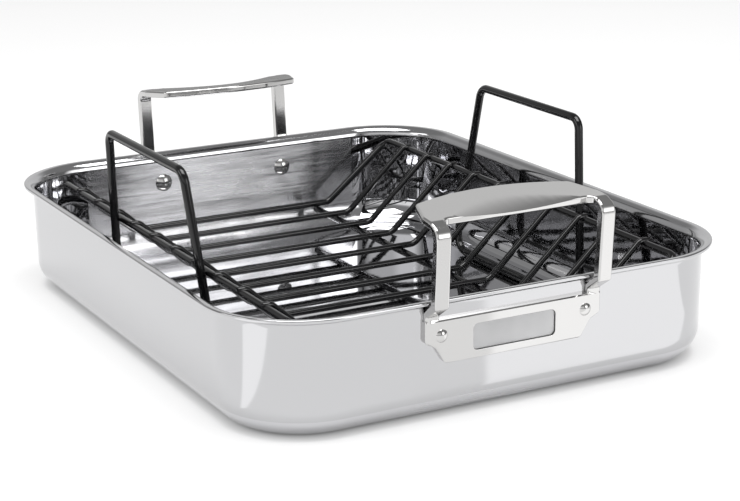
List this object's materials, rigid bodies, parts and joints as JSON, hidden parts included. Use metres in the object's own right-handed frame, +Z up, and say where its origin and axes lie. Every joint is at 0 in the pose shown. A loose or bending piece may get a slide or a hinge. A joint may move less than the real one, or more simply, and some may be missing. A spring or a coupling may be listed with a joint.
{
  "type": "roasting pan with rack",
  "caption": "Rectangular roasting pan with riveted end handles and a lift-out V-shaped wire rack with lift loops.",
  "frame": {"origin": "middle of the pan's flat underside", "axes": "+Z up, +X along the pan towards one end handle, Y across the pan towards a long side"},
  "size_m": [0.4312, 0.3294, 0.1272],
  "materials": {
    "polished_steel": "mirror-polished stainless steel, softly brushed outside",
    "cast_steel": "polished cast stainless steel",
    "rivet_steel": "polished stainless steel rivets",
    "coated_wire": "steel wire with a semi-gloss black non-stick coating"
  },
  "bodies": {
    "pan": {"pan_body": "polished_steel", "handle_front": "cast_steel", "handle_rear": "cast_steel", "handle_rivets_front": "rivet_steel", "handle_rivets_rear": "rivet_steel"},
    "rack": {"rack_frame": "coated_wire", "cross_wire_01": "coated_wire", "cross_wire_02": "coated_wire", "cross_wire_03": "coated_wire", "cross_wire_04": "coated_wire", "cross_wire_05": "coated_wire", "cross_wire_06": "coated_wire", "cross_wire_07": "coated_wire", "cross_wire_08": "coated_wire", "cross_wire_09": "coated_wire", "cross_wire_10": "coated_wire", "stringer_left": "coated_wire", "stringer_right": "coated_wire", "lift_loop_left": "coated_wire", "lift_loop_right": "coated_wire"}
  },
  "joints": [
    {"name": "rack_lift", "type": "slide", "parent": "pan", "child": "rack", "axis": [0, 0, 1], "range_m": [0, 0.08]}
  ]
}
